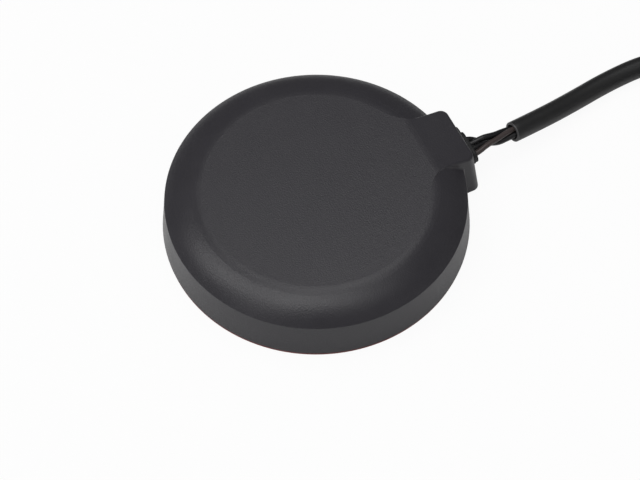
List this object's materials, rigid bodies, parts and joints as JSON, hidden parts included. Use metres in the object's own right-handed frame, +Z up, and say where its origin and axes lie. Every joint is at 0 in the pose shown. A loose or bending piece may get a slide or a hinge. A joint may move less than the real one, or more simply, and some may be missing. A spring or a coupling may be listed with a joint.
{
  "type": "satellite positioning antenna puck",
  "caption": "Round low puck with a moulded boss at one side, from which flat-laid wires run into a sleeved lead; a patch antenna and receiver board inside find position from satellites.",
  "frame": {"origin": "on the round body's axis, in the plane of the underside that is stuck down", "axes": "+Z up through the flat top, +X out through the boss towards the lead"},
  "size_m": [0.1151, 0.066, 0.0092],
  "materials": {
    "release_liner": "satin film",
    "adhesive_pad": "soft foam",
    "cover_plastic": "fine moulded texture",
    "base_plastic": "fine moulded texture",
    "screw_steel": "zinc plated",
    "board_laminate": "solder mask",
    "antenna_tape": "clear double-sided tape",
    "patch_ceramic": "fired, unglazed",
    "silver_print": "printed silver",
    "solder": "soldered",
    "tinned_sheet": "tinned",
    "chip_body": "moulded",
    "crystal_lid": "plated lid",
    "capacitor_ceramic": "fired",
    "cell_can": "drawn can",
    "header_nylon": "moulded",
    "pin_brass": "plated",
    "terminal_tin": "tinned",
    "relief_rubber": "moulded",
    "wire_brown": "soft insulation",
    "wire_black": "soft insulation",
    "sleeve_vinyl": "soft sleeve",
    "plug_nylon": "moulded"
  },
  "bodies": {
    "root": {"release_liner": "release_liner", "adhesive_pad": "adhesive_pad", "top_cover": "cover_plastic", "base_cover": "base_plastic", "cover_screws": "screw_steel", "circuit_board": "board_laminate", "antenna_tape": "antenna_tape", "ceramic_patch": "patch_ceramic", "patch_electrode": "silver_print", "feed_pin": "solder", "shield_can": "tinned_sheet", "receiver_chip": "chip_body", "crystal_oscillator": "crystal_lid", "input_filter": "chip_body", "compass_chip": "chip_body", "voltage_regulator": "chip_body", "chip_capacitors": "capacitor_ceramic", "chip_resistors": "chip_body", "backup_cell": "cell_can", "board_header": "header_nylon", "header_pins": "pin_brass", "crimp_housing": "header_nylon", "crimp_terminals": "terminal_tin", "strain_relief": "relief_rubber", "wire_1": "wire_brown", "wire_2": "wire_black", "wire_3": "wire_black", "wire_4": "wire_black", "lead_coil": "sleeve_vinyl", "lead_sleeve": "sleeve_vinyl", "lead_tail": "sleeve_vinyl", "plug_boot": "relief_rubber", "plug_housing": "plug_nylon", "plug_contacts": "terminal_tin"}
  },
  "joints": []
}
